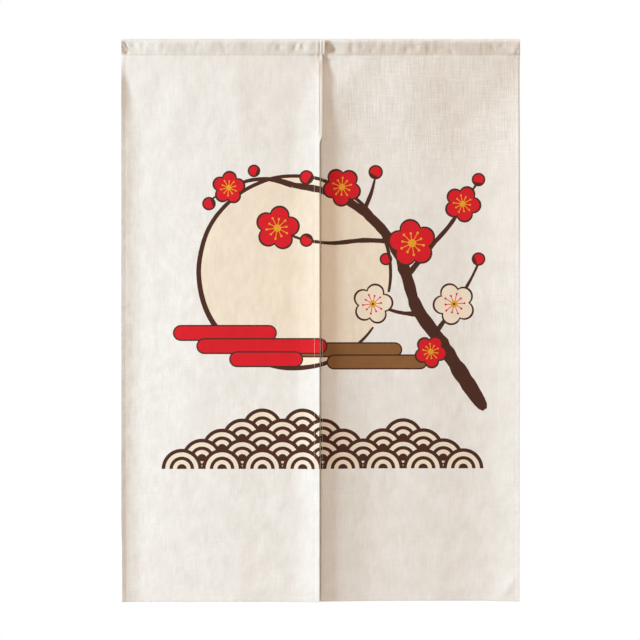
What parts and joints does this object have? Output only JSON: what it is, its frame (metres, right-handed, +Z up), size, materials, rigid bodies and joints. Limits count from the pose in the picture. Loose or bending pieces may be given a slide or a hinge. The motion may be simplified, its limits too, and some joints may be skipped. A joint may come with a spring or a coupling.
{
  "type": "noren curtain",
  "caption": "Split doorway curtain of off-white cloth, two long hemmed panels lapping at a centre slit, hung from a stitched rod pocket.",
  "frame": {"origin": "middle of the curtain's top edge, on the rod pocket's centre plane", "axes": "+X to the viewer's right along the rod, +Y to the back of the cloth, +Z up; the front faces -Y"},
  "size_m": [0.8513, 0.027, 1.2],
  "materials": {
    "panel_left": "matte",
    "panel_right": "matte",
    "pocket_left": "matte",
    "pocket_right": "matte"
  },
  "bodies": {
    "root": {"panel_left": "panel_left", "panel_right": "panel_right", "pocket_left": "pocket_left", "pocket_right": "pocket_right"}
  },
  "joints": []
}
